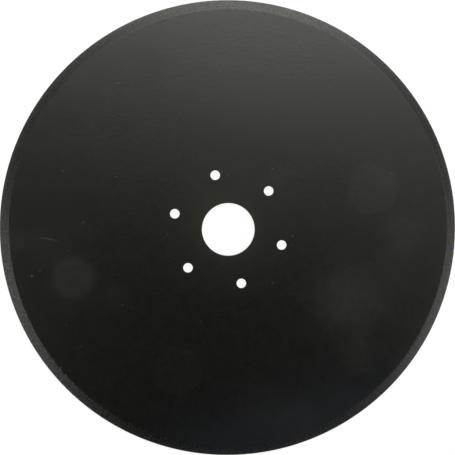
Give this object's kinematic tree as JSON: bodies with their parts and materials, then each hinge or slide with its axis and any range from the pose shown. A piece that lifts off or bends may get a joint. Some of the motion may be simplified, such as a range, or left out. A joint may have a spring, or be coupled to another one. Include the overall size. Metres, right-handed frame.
{
  "type": "coulter disc",
  "caption": "Flat round steel coulter disc with a bevelled cutting rim, a centre bore for the hub and a ring of bolt holes, painted satin black.",
  "frame": {"origin": "centre of the bore, halfway through the plate", "axes": "+Z along the axis that the disc turns on, +X through the first bolt hole"},
  "size_m": [0.4499, 0.45, 0.004],
  "materials": {
    "black_paint": "satin"
  },
  "bodies": {
    "root": {"coulter_disc": "black_paint"}
  },
  "joints": []
}
